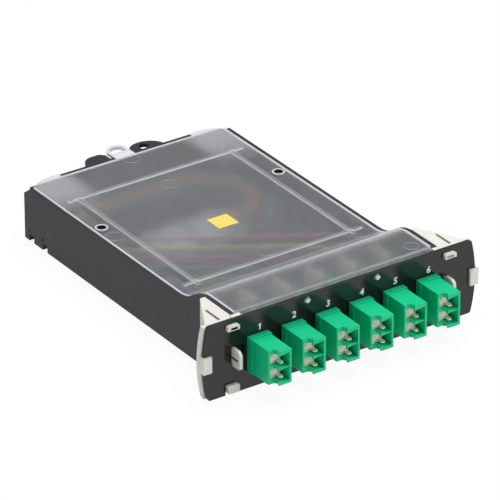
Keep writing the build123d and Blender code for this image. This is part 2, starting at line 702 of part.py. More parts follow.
def splice_holder():
    """Comb that holds the splices in rows of two."""
    wall = SPLICE_PITCH - 2 * (SPLICE_R + SPLICE_GAP)
    y0 = splice_y(0) - SPLICE_PITCH / 2 - wall / 2
    y1 = splice_y(PORT_COUNT - 1) + SPLICE_PITCH / 2 + wall / 2
    half = SPLICE_LEN / 2 - HOLDER_END
    top = TRAY_FLOOR + HOLDER_BASE
    holder = block(-half, half, y0, y1, TRAY_FLOOR, top)
    for i in range(PORT_COUNT + 1):
        mid = splice_y(i) - SPLICE_PITCH / 2
        for x0 in (-half, -HOLDER_TOOTH / 2, half - HOLDER_TOOTH):
            holder += block(x0, x0 + HOLDER_TOOTH, mid - wall / 2, mid + wall / 2, TRAY_FLOOR,
                            top + HOLDER_WALL_H)
    return holder


def splices():
    """Twelve splice protectors, two in each row of the holder."""
    group = []
    for i in range(PORT_COUNT):
        for z in LANE_Z:
            group.append(cylinder_x(-SPLICE_LEN / 2, SPLICE_LEN / 2, splice_y(i), z, SPLICE_R))
    return Compound(children=group)


def latch_bracket():
    """Latch bracket on the right end of the plate; the left one is its mirror image."""
    inner = HALF_TRAY + LATCH_GAP
    flange = upright(plate_outline(LATCH_RIM), 0, LATCH_FLANGE)
    flange &= block(inner, PLATE_W, -1, LATCH_FLANGE + 1, -LATCH_HALF_H, LATCH_HALF_H)
    apex = (inner + LATCH_APEX, LATCH_BACK)
    outer = (PLATE_HALF - LATCH_EDGE, LATCH_FLANGE / 2)
    plan = [(inner, 0.5), (inner, LATCH_BACK), apex, outer, (outer[0], 0.5)]
    full = prism(plan, Plane.XY.offset(-LATCH_HALF_H), 2 * LATCH_HALF_H)
    hollow_plan = [(inner - 1, LATCH_FLANGE), (inner - 1, LATCH_BACK - LATCH_WALL),
                   (apex[0] - LATCH_WALL * 0.9, LATCH_BACK - LATCH_WALL),
                   (outer[0] - LATCH_WALL * 1.6, LATCH_FLANGE)]
    half_hollow = LATCH_HALF_H - LATCH_WALL
    full -= prism(hollow_plan, Plane.XY.offset(-half_hollow), 2 * half_hollow)
    body = flange + full
    body -= lever_window(1, -OVERCUT, LATCH_FLANGE + OVERCUT)
    pin_top = half_hollow + LEVER_PIN_LEN
    body -= cylinder_z(LEVER_X, LEVER_PIVOT_Y, -pin_top - PIN_GAP, pin_top + PIN_GAP, LEVER_PIN_R + PIN_GAP)
    slit_x = inner + SLIT_X
    body -= block(slit_x, slit_x + SLIT_W, LATCH_FLANGE, LATCH_FLANGE + SLIT_LEN,
                  half_hollow - 1, LATCH_HALF_H + 1)
    beside_tray = block(0, inner, -LATCH_GAP, LATCH_FLANGE, -PLATE_H, PLATE_H)
    hook = block(HOOK_X[0], HOOK_X[1], PLATE_FRONT - HOOK_PROUD, 1, HOOK_Z[0], HOOK_Z[1])
    hook = fillet(hook.edges().filter_by(Axis.Y).group_by(Axis.Z)[-1], LATCH_ROUND)
    hook -= block(HOOK_X[0] + HOOK_POCKET_X[0], HOOK_X[0] + HOOK_POCKET_X[1],
                  PLATE_FRONT - HOOK_PROUD - OVERCUT, PLATE_FRONT,
                  HOOK_Z[0] + HOOK_POCKET_Z[0], HOOK_Z[0] + HOOK_POCKET_Z[1])
    body += hook - beside_tray
    foot = block(FOOT_X[0], FOOT_X[1], PLATE_FRONT - HOOK_PROUD, 1, FOOT_Z[0], FOOT_Z[1])
    body += fillet(foot.edges().filter_by(Axis.Y), LATCH_ROUND) - beside_tray
    clip_x = PLATE_HALF - CLIP_REACH
    clip = block(clip_x, PLATE_HALF + CLIP_WRAP, PLATE_FRONT - CLIP_T, LATCH_FLANGE,
                 -CLIP_HALF_H, CLIP_HALF_H)
    clip -= block(clip_x - OVERCUT, PLATE_HALF + CLIP_GAP, PLATE_FRONT, 0, -PLATE_H, PLATE_H)
    body += clip
    body += block(HALF_TRAY - KEEPER_INSET, inner + OVERCUT, 0, KEEPER_Y,
                  NECK_TOP - LIP_DROP + KEEPER_GAP, NECK_TOP + KEEPER_TOP)
    return body


def release_lever():
    """Right release lever at rest: a finger tab in front, a pivot at the rear."""
    half_t = LEVER_T / 2
    tip = PLATE_FRONT - LEVER_PROUD
    blade = block(LEVER_X - half_t, LEVER_X + half_t, tip, LEVER_PIVOT_Y, -LEVER_HALF_H, LEVER_HALF_H)
    low, high = blade.edges().filter_by(Axis.X).group_by(Axis.Y)[0].sort_by(Axis.Z)
    blade = fillet([high], LEVER_TOP_R)
    low = blade.edges().filter_by(Axis.X).group_by(Axis.Y)[0].sort_by(Axis.Z)[0]
    blade = fillet([low], LEVER_LOW_R)
    blade -= block(LEVER_X - LEVER_T, LEVER_X + LEVER_T, PLATE_FRONT - LEVER_SLIT_LEN, PLATE_FRONT,
                   LEVER_SLIT_Z - LEVER_SLIT_H / 2, LEVER_SLIT_Z + LEVER_SLIT_H / 2)
    half_web = LATCH_HALF_H - LATCH_WALL - LATCH_GAP
    blade += cylinder_z(LEVER_X, LEVER_PIVOT_Y, -half_web, half_web, LEVER_BARREL_R)
    pin = LATCH_HALF_H - LATCH_WALL + LEVER_PIN_LEN
    blade += cylinder_z(LEVER_X, LEVER_PIVOT_Y, -pin, pin, LEVER_PIN_R)
    return blade


def label():
    """Square sticker on the middle of the cover."""
    half_l = LABEL_L / 2
    return block(-LABEL_W / 2, LABEL_W / 2, LABEL_Y - half_l, LABEL_Y + half_l,
                 COVER_TOP, COVER_TOP + LABEL_T)


def save(shape, name):
    export_step(shape, f"parts/{name}.step")


os.makedirs("parts", exist_ok=True)
save(faceplate(), "faceplate")
save(tray(), "tray")
save(cover(), "cover")
right_bracket = latch_bracket()
right_lever = release_lever()
save(right_bracket, "latch_bracket_right")
save(mirror(right_bracket, about=Plane.YZ), "latch_bracket_left")
save(right_lever, "release_lever_right")
save(mirror(right_lever, about=Plane.YZ), "release_lever_left")
one_adapter = adapter()
port_names = ("upper", "lower")
for number, adapter_x in enumerate(ADAPTER_X, start=1):
    save(Pos(adapter_x, 0, 0) * one_adapter, f"adapter_{number}")
    for level, port_name in enumerate(port_names):
        save(Pos(adapter_x, 0, 0) * shutter(PORT_Z[level]), f"shutter_{number}_{port_name}")
        save(Pos(adapter_x, 0, 0) * plug(PORT_Z[level]), f"pigtail_plug_{number}_{port_name}")
        strand, strand_length = fibre(number - 1, level)
        save(strand, f"pigtail_fibre_{number}_{port_name}")
        ideal = math.pi * (FIBRE_D / 2) ** 2 * strand_length
        ratio = strand.volume / ideal
        print(f"fibre {number} {port_name}: {strand_length:.0f} mm long, volume ratio {ratio:.4f}")
save(sleeves(), "alignment_sleeves")
save(splice_holder(), "splice_holder")
save(splices(), "splice_protectors")
save(shutter_seats(), "shutter_seats")
save(label(), "cover_sticker")
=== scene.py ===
"""Looks of the fibre splice module: materials, printed numbers, moulding marks, rubber grommets
and hole cups, camera and soft studio light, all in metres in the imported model's own frame."""

import bpy
import bmesh
import json
import math
from mathutils import Matrix, Vector


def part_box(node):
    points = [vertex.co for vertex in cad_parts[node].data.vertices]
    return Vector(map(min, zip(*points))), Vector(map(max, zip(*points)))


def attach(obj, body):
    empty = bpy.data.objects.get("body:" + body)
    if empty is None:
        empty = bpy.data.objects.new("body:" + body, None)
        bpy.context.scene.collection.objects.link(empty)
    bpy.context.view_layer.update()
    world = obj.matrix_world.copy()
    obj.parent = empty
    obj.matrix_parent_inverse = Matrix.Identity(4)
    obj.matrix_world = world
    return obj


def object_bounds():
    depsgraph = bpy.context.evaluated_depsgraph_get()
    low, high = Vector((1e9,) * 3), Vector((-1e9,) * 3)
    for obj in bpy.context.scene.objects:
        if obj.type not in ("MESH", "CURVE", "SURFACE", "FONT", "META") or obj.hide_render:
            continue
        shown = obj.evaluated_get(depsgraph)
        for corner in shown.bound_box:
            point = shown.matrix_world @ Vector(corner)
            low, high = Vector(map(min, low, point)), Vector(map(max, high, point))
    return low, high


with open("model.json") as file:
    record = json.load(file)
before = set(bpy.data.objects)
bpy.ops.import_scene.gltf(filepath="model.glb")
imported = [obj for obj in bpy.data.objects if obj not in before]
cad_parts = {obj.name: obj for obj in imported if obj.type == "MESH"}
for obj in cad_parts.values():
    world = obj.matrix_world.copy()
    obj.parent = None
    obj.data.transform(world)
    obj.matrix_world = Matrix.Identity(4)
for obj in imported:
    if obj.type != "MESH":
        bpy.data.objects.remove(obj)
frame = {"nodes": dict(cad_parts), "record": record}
cad_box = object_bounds()
nodes = frame["nodes"]

MM = 0.001

# Camera, fitted to the photograph: focal length in image pixels, angles in degrees, and the
# place of the target in the image
IMAGE_PX = 500
SENSOR_MM = 36.0
FOCAL_PX = 5135.9
CAMERA_YAW = 34.315
CAMERA_PITCH = 28.204
CAMERA_ROLL = -0.095
CAMERA_TARGET = Vector((0.0, 60.0, 0.0)) * MM
CAMERA_DISTANCE = 2046.6 * MM
CAMERA_SIDE = 0.969 * MM
CAMERA_RISE = -3.34 * MM
CAMERA_CLIP = (0.05, 50.0)

# Studio seen in glossy and clear surfaces: white low down, dimmer above, pale overhead
STUDIO_SHADES = [(0.05, 1.0), (0.28, 0.42), (0.62, 0.42), (0.95, 0.9)]

# Light on the object: the world's strength, and the softboxes as name, place, size and watts
WORLD_LIGHT = 0.26
LAMP_AIM = (0.0, 0.05, 0.0)
SOFTBOXES = [("top_box", (0.1, 0.15, 0.9), (0.9, 0.9), 9.5),
             ("front_box", (0.3, -0.9, 0.45), (0.8, 0.5), 3.2),
             ("left_box", (-0.9, -0.2, 0.35), (0.6, 0.6), 0.3)]

# Floor: glow is the share of plain white that the camera, mirrors and glass see in it
FLOOR_SIZE = 8.0
FLOOR_DROP = 0.1 * MM
FLOOR_COLOUR = (0.9, 0.9, 0.9, 1.0)
FLOOR_ROUGH = 0.9
FLOOR_GLOW = 0.92

# Fine structure of all moulded surfaces: mottling and sheen per metre, how far the roughness
# wanders, and the depth of the grain
CLOUD_SCALE = 60.0
SHEEN_SCALE = 300.0
ROUGH_SPREAD = (-0.06, 0.08)
GRAIN_DEPTH = 0.05 * MM
NOISE_ROUGH = 0.55
RAMP_ENDS = (0.3, 0.7)

# Sockets of a colour mix: share, the two colours and the result
MIX_SHARE, MIX_FIRST, MIX_SECOND, MIX_RESULT = 0, 6, 7, 2

# Milky nylon: roughness, and share and depth of the light under its skin
NYLON_ROUGH = 0.42
NYLON_GLOW = 0.15
NYLON_DEPTH = (0.8 * MM, 0.7 * MM, 0.6 * MM)

# Cover plastic: share of see-through on flat and on upright faces, colour of the painted highlights
# and milky places, and the tilts of a face, as the normal's height, between which it turns from flat to
# upright
COVER_CLEAR = 0.93
EDGE_CLEAR = 0.30
HIGHLIGHT_AND_MILK_WHITE = (0.92, 0.93, 0.94, 1.0)
UPRIGHT = (0.75, 0.35)
COVER_IOR = 1.45
COVER_CLOUD_SCALE = 45.0
COVER_SHEEN_SCALE = 120.0
COVER_ROUGH_SPREAD = (-0.02, 0.02)

# Painted highlights: whiter, less clear rims along the cover's sides and rear
RIM_W = 0.8 * MM
RIM_BLUR = 0.3 * MM
REAR_RIM_Y = 151.0 * MM
RIM_HIGHLIGHT = 0.8

# Faint milk on raised forms behind the ramp, between these heights over the flat top
CREST = (0.25 * MM, 0.4 * MM)
CREST_FROM = 42.4 * MM
CREST_MILK = 0.12

# Hazy rear corners, growing outwards and backwards
EAR_ACROSS = (24 * MM, 34 * MM)
EAR_BACK = (118 * MM, 142 * MM)
EAR_MILK = 0.3

# Painted highlights along both edges of each rib: middle lines and ends of the ribs, and how the
# highlight comes and goes with the distance from a middle line
RIB_ACROSS = 37.3 * MM
RIB_BACK = (45.3 * MM, 130.0 * MM)
RIB_REACH = 43.1 * MM
RIB_SPAN = (42.5 * MM, 130.9 * MM)
RIB_EDGE_COMES = (0.35 * MM, 0.5 * MM)
RIB_EDGE_GOES = (1.1 * MM, 0.9 * MM)
RIB_HIGHLIGHT = 0.75

# Painted highlights on the raised rims of the cover's two holes
HOLE_PLACE = (43.0 * MM, 104.0 * MM)
HOLE_RIM_R = 3.6 * MM
HOLE_RIM_RISE = (0.1 * MM, 0.2 * MM)
HOLE_RIM_HIGHLIGHT = 0.9

# Plugs are green in front of this place and cream behind it
BOOT_FROM = 22.0 * MM

# Latch recesses painted black, for the black plate behind them and painted shade in their depth, as corner
# pairs in mm
RECESS_PLATE_AND_SHADE_BLACK = (0.004, 0.004, 0.004, 1.0)
HOOK_POCKET = ((-53.05, -2.98, 12.5), (-49.75, -1.4, 13.6))
LEVER_SLITS = [((-51.58, -5.55, -0.78), (-50.22, -1.4, 0.18)),
               ((50.22, -5.55, -0.78), (51.58, -1.4, 0.18))]

# Rubber grommets in the cable holes and blind cups in the cover's holes, as closed profiles
# of radius and height in mm
GROMMET_PROFILE = [(0.5, -0.25), (2.5, -0.25), (2.7, -0.8), (2.9, -1.5), (4.1, -1.5), (4.1, -0.85),
                   (3.45, -0.85), (3.45, 0.85), (4.6, 0.85), (4.6, 1.3), (4.3, 1.6), (2.9, 1.6),
                   (2.5, 0.25), (0.5, 0.25)]
CUP_PROFILE = [(0.0, -1.3), (1.95, -1.3), (1.95, 0.1), (1.6, 0.1), (1.6, -0.9), (0.0, -0.9)]
TURN_STEPS = 48

# Printed numbers: the built-in typeface is set a little larger and heavier than its digits,
# and the 1 is an outline of its own, in shares of the number's height
PORT_COUNT = 6
NUMBER_HEIGHT = 2.8 * MM
NUMBER_TYPE_SIZE = 1.4 * NUMBER_HEIGHT
NUMBER_WEIGHT = 0.09 * MM
NUMBER_Z = 9.4 * MM
NUMBER_SHIFT = 1.0 * MM
NUMBER_SLANT = 0.1
PRINT_T = 0.05 * MM
ONE_MIDDLE = (0.3, 0.5)
ONE_SHAPE = [(0.24, 0.0), (0.46, 0.0), (0.46, 1.0), (0.30, 1.0),
             (0.22, 0.88), (0.02, 0.80), (0.02, 0.66), (0.24, 0.72)]

# Round moulding marks on the cover's flat top and, smaller, on its neck, at X and Y in mm
RING_RADIUS = 3.6 * MM
NECK_RING_RADIUS = 0.8 * RING_RADIUS
RING_PIPE = 0.14 * MM
RING_STEPS = (64, 8)
RING_PLACES = [(0.0, 147.8), (0.2, 120.5), (0.0, 50.4), (-42.7, 94.9)]
NECK_RING_PLACES = [(40.9, 9.0), (-39.5, 7.8)]


def srgb(r, g, b):
    """Linear colour from 0-255 screen values."""
    def channel(v):
        v = v / 255
        return v / 12.92 if v <= 0.04045 else ((v + 0.055) / 1.055) ** 2.4
    return (channel(r), channel(g), channel(b), 1.0)


def shade(colour, factor):
    return (colour[0] * factor, colour[1] * factor, colour[2] * factor, 1.0)


class Graph:
    """Small helper to lay out one material's nodes."""

    def __init__(self, name):
        self.material = bpy.data.materials.new(name)
        self.material.use_nodes = True
        self.tree = self.material.node_tree
        self.shader = self.tree.nodes["Principled BSDF"]
        self.coords = self.add("ShaderNodeTexCoord").outputs["Object"]

    def add(self, kind, **values):
        node = self.tree.nodes.new(kind)
        for key, value in values.items():
            setattr(node, key, value)
        return node

    def link(self, output, target):
        self.tree.links.new(output, target)

    def noise(self, scale, detail=3.0):
        node = self.add("ShaderNodeTexNoise")
        node.inputs["Scale"].default_value = scale
        node.inputs["Detail"].default_value = detail
        node.inputs["Roughness"].default_value = NOISE_ROUGH
        self.link(self.coords, node.inputs["Vector"])
        return node.outputs["Fac"]

    def ramp(self, factor, *colours):
        node = self.add("ShaderNodeValToRGB")
        for step, position, colour in zip(node.color_ramp.elements, RAMP_ENDS, colours):
            step.position = position
            step.color = colour
        self.link(factor, node.inputs["Fac"])
        return node.outputs["Color"]

    def spread(self, factor, low, high):
        node = self.add("ShaderNodeMapRange")
        node.inputs["To Min"].default_value = low
        node.inputs["To Max"].default_value = high
        self.link(factor, node.inputs["Value"])
        return node.outputs["Result"]

    def axes(self, source):
        node = self.add("ShaderNodeSeparateXYZ")
        self.link(source, node.inputs["Vector"])
        return node.outputs

    def maths(self, operation, first, second=None):
        """One sum or comparison of an output with another output or a number."""
        node = self.add("ShaderNodeMath", operation=operation)
        self.link(first, node.inputs[0])
        if isinstance(second, float):
            node.inputs[1].default_value = second
        elif second is not None:
            self.link(second, node.inputs[1])
        return node.outputs[0]

    def rise(self, value, start, end):
        """Smooth step from 0 at start to 1 at end."""
        node = self.add("ShaderNodeMapRange", interpolation_type="SMOOTHSTEP")
        node.inputs["From Min"].default_value = start
        node.inputs["From Max"].default_value = end
        self.link(value, node.inputs["Value"])
        return node.outputs["Result"]

    def upright_share(self, flat, steep):
        """0 on faces that lie flat, 1 on faces that stand upright, whichever way they face."""
        normal = self.axes(self.add("ShaderNodeTexCoord").outputs["Normal"])
        return self.rise(self.maths("ABSOLUTE", normal["Z"]), flat, steep)

    def blend_colour(self, factor, first, second):
        node = self.add("ShaderNodeMix", data_type="RGBA")
        self.link(factor, node.inputs[MIX_SHARE])
        self.link(first, node.inputs[MIX_FIRST])
        node.inputs[MIX_SECOND].default_value = second
        return node.outputs[MIX_RESULT]

    def mottle(self, colour, darker, lighter, scale=CLOUD_SCALE):
        """Colour with soft darker and lighter clouds."""
        return self.ramp(self.noise(scale, 4.0), shade(colour, darker), shade(colour, lighter))

    def sheen(self, rough, spread=ROUGH_SPREAD, scale=SHEEN_SCALE):
        """Roughness that wanders a little over the surface."""
        wandering = self.spread(self.noise(scale), rough + spread[0], rough + spread[1])
        self.link(wandering, self.shader.inputs["Roughness"])

    def grain(self, scale, strength, edge=None, detail=2.0):
        """Fine grain of a scale per metre, on edges softened over the given radius."""
        node = self.add("ShaderNodeBump")
        node.inputs["Strength"].default_value = strength
        node.inputs["Distance"].default_value = GRAIN_DEPTH
        self.link(self.noise(scale, detail), node.inputs["Height"])
        if edge is not None:
            soft = self.add("ShaderNodeBevel", samples=4)
            soft.inputs["Radius"].default_value = edge
            self.link(soft.outputs["Normal"], node.inputs["Normal"])
        self.link(node.outputs["Normal"], self.shader.inputs["Normal"])


def plastic(name, colour, rough, grain_mm, grain, edge_mm, vary, specular=0.5):
    """Moulded or painted surface with fine grain, faint mottling and softened edges."""
    g = Graph(name)
    g.link(g.mottle(colour, 1 - vary, 1 + vary), g.shader.inputs["Base Color"])
    g.sheen(rough)
    g.shader.inputs["Specular IOR Level"].default_value = specular
    g.grain(1 / (grain_mm * MM), grain, edge_mm * MM)
    return g.material


def rib_edges(g, across, back):
    """1 along both edges of each rib on the cover."""
    def pair(value, middle):
        away = g.maths("ABSOLUTE", g.maths("SUBTRACT", value, middle))
        return g.maths("MULTIPLY", g.rise(away, *RIB_EDGE_COMES), g.rise(away, *RIB_EDGE_GOES))

    along = g.maths("MULTIPLY", g.maths("GREATER_THAN", back, RIB_SPAN[0]),
                    g.maths("LESS_THAN", back, RIB_SPAN[1]))
    edges = g.maths("MULTIPLY", pair(across, RIB_ACROSS), along)
    reach = g.maths("LESS_THAN", across, RIB_REACH)
    for middle in RIB_BACK:
        edges = g.maths("MAXIMUM", edges, g.maths("MULTIPLY", pair(back, middle), reach))
    return edges


def hole_rims(g, across, back, height, top):
    """1 on the raised rims of the cover's two holes."""
    aside = g.maths("SUBTRACT", across, HOLE_PLACE[0])
    along = g.maths("SUBTRACT", back, HOLE_PLACE[1])
    squares = g.maths("ADD", g.maths("MULTIPLY", aside, aside), g.maths("MULTIPLY", along, along))
    away = g.maths("SQRT", squares)
    return g.maths("MULTIPLY", g.rise(height, top + HOLE_RIM_RISE[0], top + HOLE_RIM_RISE[1]),
                   g.maths("LESS_THAN", away, HOLE_RIM_R))


def cover_milk(g):
    """Share of white: painted highlights on upright faces, rims and rib edges, and milk on the two rear
    ears.
    """
    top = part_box("cover_sticker")[0].z
    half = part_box("cover")[1].x
    place = g.axes(g.coords)
    across = g.maths("ABSOLUTE", place["X"])
    back = place["Y"]
    # Painted highlights along the side and rear rims
    side_rim = g.rise(across, half - RIM_W - RIM_BLUR, half - RIM_W)
    rear_rim = g.rise(back, REAR_RIM_Y - RIM_W - RIM_BLUR, REAR_RIM_Y - RIM_W)
    crest = g.maths("MULTIPLY", g.rise(place["Z"], top + CREST[0], top + CREST[1]),
                    g.rise(back, CREST_FROM - RIM_BLUR, CREST_FROM))
    ear = g.maths("MULTIPLY", g.rise(across, *EAR_ACROSS), g.rise(back, *EAR_BACK))
    outside = g.maths("GREATER_THAN", place["Z"], top - CREST[0])
    # Painted highlights along the rib edges
    ribs = g.maths("MULTIPLY", rib_edges(g, across, back), outside)
    # Painted highlights on the hole rims
    holes = hole_rims(g, across, back, place["Z"], top)
    # Painted highlight: upright faces whiter and less clear
    highlight_and_milk = g.upright_share(*UPRIGHT)
    for share, weight in ((side_rim, RIM_HIGHLIGHT), (rear_rim, RIM_HIGHLIGHT), (crest, CREST_MILK),
                          (ear, EAR_MILK), (ribs, RIB_HIGHLIGHT), (holes, HOLE_RIM_HIGHLIGHT)):
        highlight_and_milk = g.maths("MAXIMUM", highlight_and_milk, g.maths("MULTIPLY", share, weight))
    return highlight_and_milk


def two_tone(name, front, rear, split, rough):
    """Moulded piece whose rear end has another colour."""
    g = Graph(name)
    back = g.rise(g.axes(g.coords)["Y"], split, split + RIM_BLUR)
    g.link(g.blend_colour(back, g.mottle(front, 0.95, 1.05), rear), g.shader.inputs["Base Color"])
    g.sheen(rough)
    g.grain(3000.0, 0.05, 0.1 * MM)
    return g.material


def frosted(name, tint, rough):
    """Satin clear plastic: faces see through with a haze; edges and upright faces are whiter and less
    clear, a painted highlight.
    """
    g = Graph(name)
    highlight_and_milk = cover_milk(g)
    body = g.mottle(tint, 0.96, 1.0, COVER_CLOUD_SCALE)
    # Painted highlights: whiter and less see-through where the share is high
    g.link(g.blend_colour(highlight_and_milk, body, HIGHLIGHT_AND_MILK_WHITE), g.shader.inputs["Base Color"])
    g.link(g.spread(highlight_and_milk, COVER_CLEAR, EDGE_CLEAR), g.shader.inputs["Transmission Weight"])
    g.sheen(rough, COVER_ROUGH_SPREAD, COVER_SHEEN_SCALE)
    g.shader.inputs["IOR"].default_value = COVER_IOR
    g.grain(250.0, 0.02, detail=1.0)
    return g.material


def soft_nylon(name, colour, recesses=()):
    """Milky nylon that lets a little light in under its skin, painted black inside the given recesses for
    the plate behind them and their shade.
    """
    g = Graph(name)
    body = g.mottle(colour, 0.97, 1.02)
    place = g.axes(g.coords)
    # Painted shade: black inside each recess, also standing for the black plate behind it
    for box in recesses:
        inside = None
        for axis, low, high in zip("XYZ", box[0], box[1]):
            within = g.maths("MULTIPLY", g.maths("GREATER_THAN", place[axis], low * MM),
                             g.maths("LESS_THAN", place[axis], high * MM))
            inside = within if inside is None else g.maths("MULTIPLY", inside, within)
        body = g.blend_colour(inside, body, RECESS_PLATE_AND_SHADE_BLACK)
    g.link(body, g.shader.inputs["Base Color"])
    g.sheen(NYLON_ROUGH)
    g.grain(2500.0, 0.06, 0.3 * MM)
    g.shader.inputs["Subsurface Weight"].default_value = NYLON_GLOW
    g.shader.inputs["Subsurface Radius"].default_value = NYLON_DEPTH
    g.shader.inputs["Subsurface Scale"].default_value = 1.0
    return g.material


materials = {
    "faceplate_black": plastic("satin_black_paint", srgb(18, 18, 19), 0.16,
                               grain_mm=0.25, grain=0.08, edge_mm=0.15, vary=0.10),
    "tray_black": plastic("charcoal_polycarbonate", srgb(34, 32, 39), 0.45,
                          grain_mm=0.5, grain=0.10, edge_mm=0.3, vary=0.06, specular=0.3),
    "cover_frosted": frosted("frosted_cover", (0.80, 0.83, 0.86, 1.0), 0.21),
    "sticker_yellow": plastic("yellow_sticker", srgb(240, 208, 96), 0.4,
                              grain_mm=0.3, grain=0.03, edge_mm=0.02, vary=0.04),
    "latch_white": soft_nylon("white_nylon", srgb(220, 218, 211), [HOOK_POCKET] + LEVER_SLITS),
    "ceramic_white": plastic("zirconia", srgb(238, 236, 228), 0.2,
                             grain_mm=0.2, grain=0.02, edge_mm=0.05, vary=0.02),
    "holder_grey": plastic("holder_grey_plastic", srgb(150, 152, 156), 0.5,
                           grain_mm=0.4, grain=0.1, edge_mm=0.1, vary=0.06),
    "protector_clear": plastic("shrink_sleeve", srgb(205, 205, 200), 0.25,
                               grain_mm=0.4, grain=0.03, edge_mm=0.05, vary=0.05),
    "adapter_green": plastic("adapter_green_plastic", srgb(0, 190, 132), 0.34,
                             grain_mm=0.3, grain=0.07, edge_mm=0.12, vary=0.05, specular=0.3),
    "shutter_ivory": soft_nylon("ivory_shutter_plastic", srgb(248, 240, 224)),
    "plug_green": two_tone("plug_green_plastic", srgb(10, 150, 95), srgb(225, 216, 200), BOOT_FROM, 0.35),
}

JACKETS = {
    "blue": srgb(40, 95, 190),
    "orange": srgb(240, 120, 30),
    "green": srgb(40, 150, 70),
    "brown": srgb(125, 75, 40),
    "slate": srgb(130, 138, 145),
    "white": srgb(235, 235, 230),
    "red": srgb(205, 40, 40),
    "black": srgb(35, 35, 38),
    "yellow": srgb(240, 210, 50),
    "violet": srgb(125, 70, 160),
    "rose": srgb(235, 130, 150),
    "aqua": srgb(80, 190, 200),
}
for dye, dye_colour in JACKETS.items():
    materials[f"fibre_{dye}"] = plastic(f"jacket_{dye}", dye_colour, 0.35,
                                        grain_mm=0.2, grain=0.03, edge_mm=0.02, vary=0.05)


def dress_frame():
    """Give every CAD node the material of its slot."""
    for part in frame["record"]["subparts"]:
        mesh = nodes[part["node"]].data
        mesh.materials.clear()
        mesh.materials.append(materials[part["material_slot"]])
        for polygon in mesh.polygons:
            polygon.material_index = 0


def digit(number):
    """One printed digit of the plain built-in typeface, thickened and slanted."""
    text = bpy.data.curves.new(f"number_curve_{number}", "FONT")
    text.body = str(number)
    text.size = NUMBER_TYPE_SIZE
    text.extrude = PRINT_T
    text.offset = NUMBER_WEIGHT
    text.shear = NUMBER_SLANT
    text.align_x = "CENTER"
    text.align_y = "CENTER"
    holder = bpy.data.objects.new(f"number_holder_{number}", text)
    bpy.context.scene.collection.objects.link(holder)
    bpy.context.view_layer.update()
    mesh = bpy.data.meshes.new_from_object(holder)
    bpy.data.objects.remove(holder)
    return mesh


def one_with_flag():
    """The digit 1 with a flag, which the built-in typeface lacks."""
    shape = bmesh.new()
    corners = []
    for across, up in ONE_SHAPE:
        across = (across - ONE_MIDDLE[0]) * NUMBER_HEIGHT
        up = (up - ONE_MIDDLE[1]) * NUMBER_HEIGHT
        corners.append(shape.verts.new((across + NUMBER_SLANT * up, up, -PRINT_T)))
    face = shape.faces.new(corners)
    lifted = bmesh.ops.extrude_face_region(shape, geom=[face])["geom"]
    bmesh.ops.translate(shape, verts=[v for v in lifted if isinstance(v, bmesh.types.BMVert)],
                        vec=(0, 0, 2 * PRINT_T))
    bmesh.ops.recalc_face_normals(shape, faces=shape.faces)
    mesh = bpy.data.meshes.new("number_one")
    shape.to_mesh(mesh)
    shape.free()
    return mesh


def printed_numbers():
    """Plain white numbers 1 to 6 over the adapters."""
    ink = plastic("white_ink", srgb(240, 240, 240), 0.5, grain_mm=0.2, grain=0.03, edge_mm=0.01, vary=0.03)
    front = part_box("faceplate")[0].y
    for number in range(1, PORT_COUNT + 1):
        low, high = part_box(f"adapter_{number}")
        mesh = one_with_flag() if number == 1 else digit(number)
        piece = bpy.data.objects.new(f"number_{number}", mesh)
        bpy.context.scene.collection.objects.link(piece)
        turn = Matrix.Rotation(math.radians(90), 4, "X")
        place = Matrix.Translation(((low.x + high.x) / 2 + NUMBER_SHIFT, front, NUMBER_Z))
        mesh.transform(place @ turn)
        mesh.materials.clear()
        mesh.materials.append(ink)
        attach(piece, "module")


def ring(name, place, radius):
    """Faint raised circle that a moulding pin left on the cover."""
    bpy.ops.mesh.primitive_torus_add(location=place, major_radius=radius, minor_radius=RING_PIPE,
                                     major_segments=RING_STEPS[0], minor_segments=RING_STEPS[1])
    piece = bpy.context.object
    piece.name = name
    piece.data.materials.append(materials["cover_frosted"])
    for polygon in piece.data.polygons:
        polygon.use_smooth = True
    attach(piece, "cover")


def turned(name, profile, turn, place, material, body):
    """Round piece made by turning a closed profile of (radius, height) points."""
    shape = bmesh.new()
    loops = []
    for step in range(TURN_STEPS):
        angle = 2 * math.pi * step / TURN_STEPS
        loops.append([shape.verts.new((r * MM * math.cos(angle), r * MM * math.sin(angle), h * MM))
                      for r, h in profile])
    count = len(profile)
    for step in range(TURN_STEPS):
        here, beyond = loops[step], loops[(step + 1) % TURN_STEPS]
        for i in range(count):
            j = (i + 1) % count
            if profile[i][0] + profile[j][0] > 0:
                shape.faces.new((here[i], beyond[i], beyond[j], here[j]))
    bmesh.ops.remove_doubles(shape, verts=shape.verts, dist=1e-7)
    bmesh.ops.recalc_face_normals(shape, faces=shape.faces)
    mesh = bpy.data.meshes.new(name)
    shape.to_mesh(mesh)
    shape.free()
    mesh.transform(Matrix.Translation(place) @ turn)
    mesh.materials.append(material)
    piece = bpy.data.objects.new(name, mesh)
    bpy.context.scene.collection.objects.link(piece)
    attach(piece, body)


def holes_filled():
    """Grommets in the rear wall's cable holes and black cups in the cover's two holes."""
    rubber = plastic("black_rubber", srgb(26, 26, 28), 0.6,
                     grain_mm=0.4, grain=0.10, edge_mm=0.2, vary=0.08, specular=0.3)
    backward = Matrix.Rotation(math.radians(-90), 4, "X")
    for mount in frame["record"]["mounts"]:
        if mount["name"].startswith("cable_entry"):
            turned("grommet_" + mount["name"][len("cable_entry_"):], GROMMET_PROFILE, backward,
                   Vector(mount["pos_m"]), rubber, "module")
    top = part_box("cover_sticker")[0].z
    for name, side in (("left", -1), ("right", 1)):
        turned(f"hole_cup_{name}", CUP_PROFILE, Matrix.Identity(4),
               Vector((side * HOLE_PLACE[0], HOLE_PLACE[1], top)), rubber, "cover")


